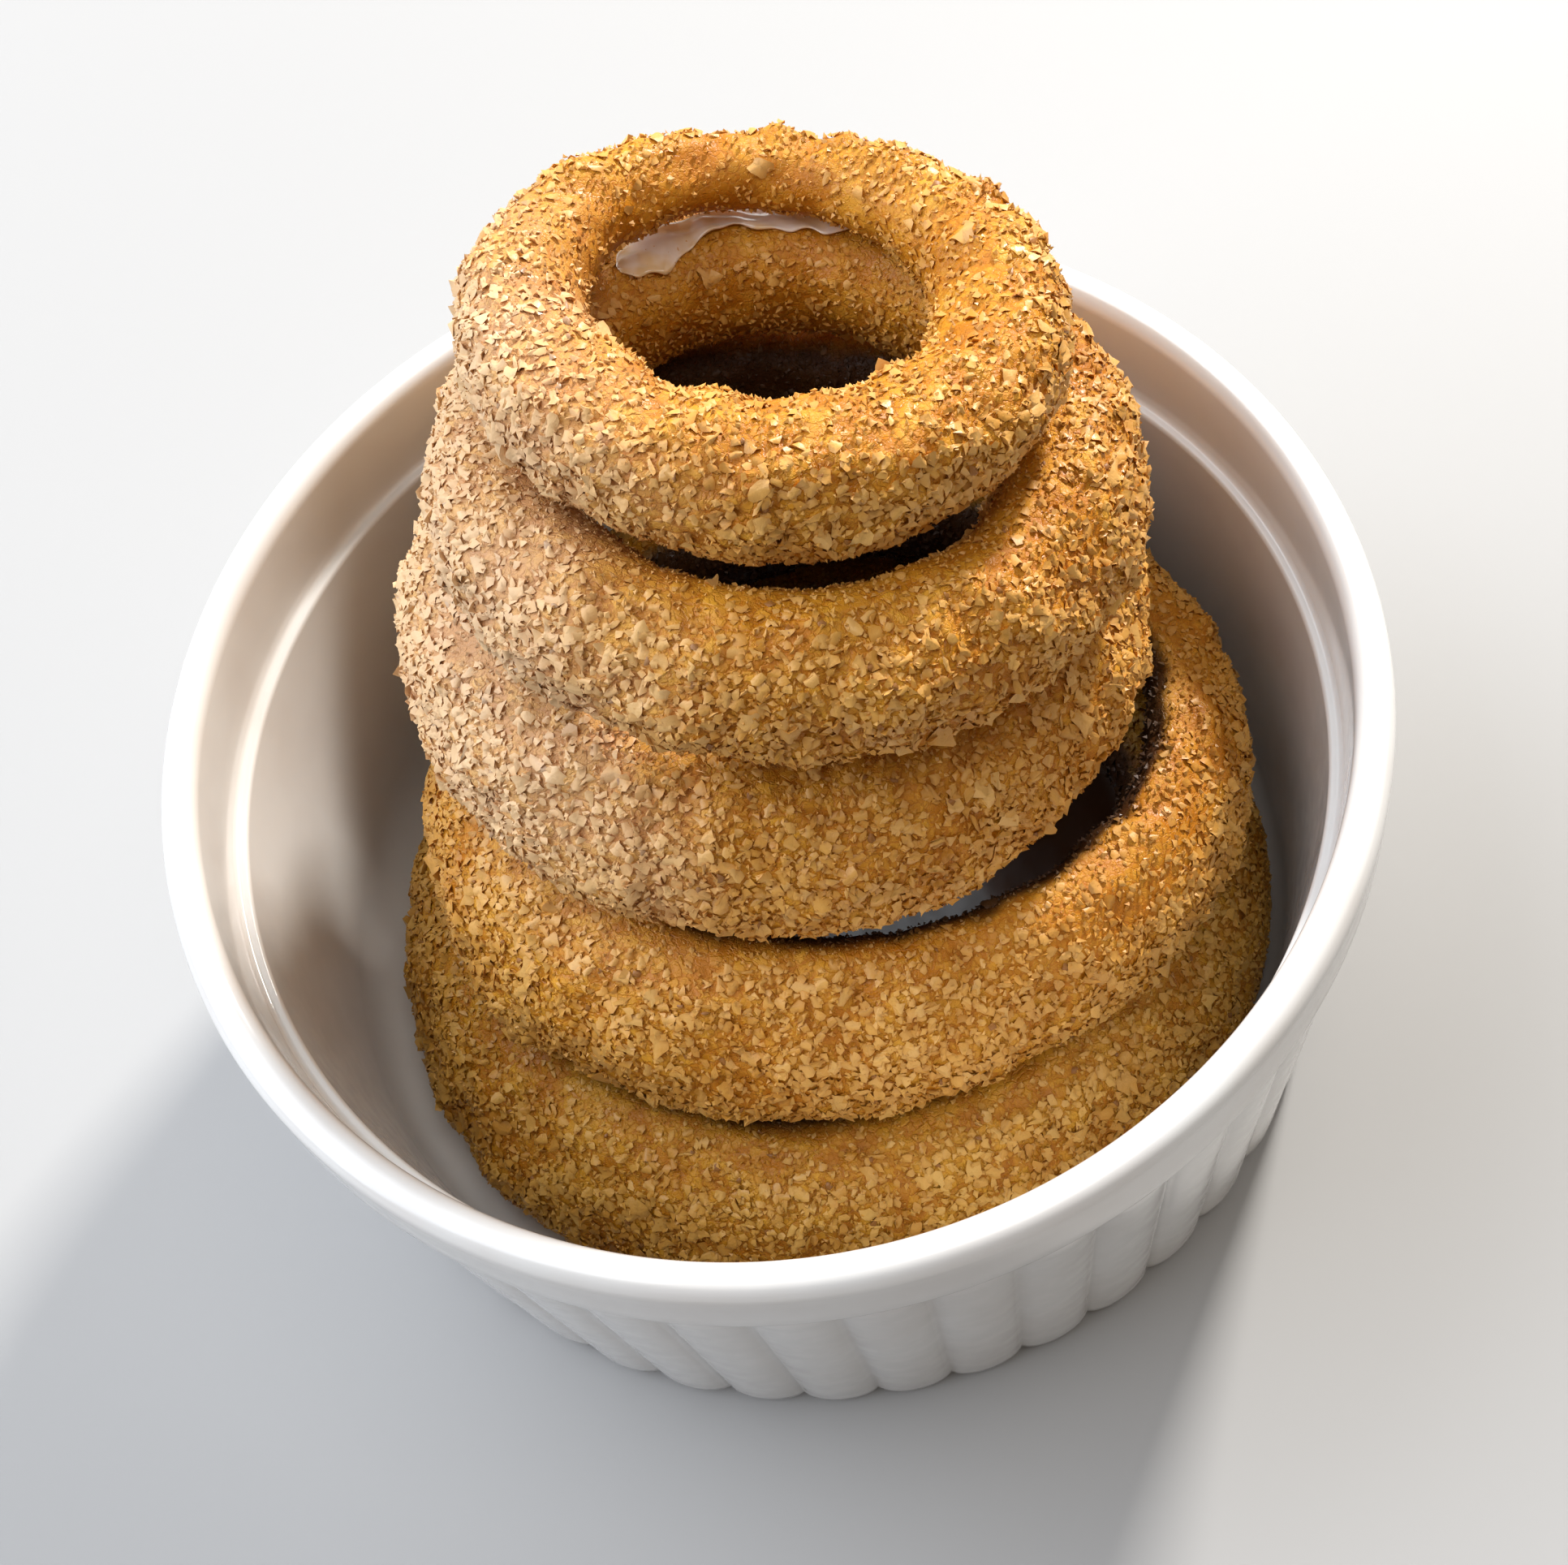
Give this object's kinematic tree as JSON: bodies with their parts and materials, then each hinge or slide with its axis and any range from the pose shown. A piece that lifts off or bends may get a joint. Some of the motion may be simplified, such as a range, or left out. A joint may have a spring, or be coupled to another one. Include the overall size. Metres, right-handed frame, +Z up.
{
  "type": "onion rings side",
  "caption": "Leaning stack of crumbed, deep-fried onion rings standing in a round white fluted stoneware dish with a lid ledge inside its rim.",
  "frame": {"origin": "middle of the dish's foot ring, on the surface it stands on", "axes": "+Z up; -Y to the side where the stack steps down towards the rim; +X to the right seen from there"},
  "size_m": [0.15, 0.15, 0.1153],
  "materials": {
    "glaze": "gloss",
    "crust": "matte"
  },
  "bodies": {
    "root": {"dish": "glaze", "ring_bottom": "crust", "ring_lower": "crust", "ring_middle": "crust", "ring_upper": "crust", "ring_top": "crust"}
  },
  "joints": []
}
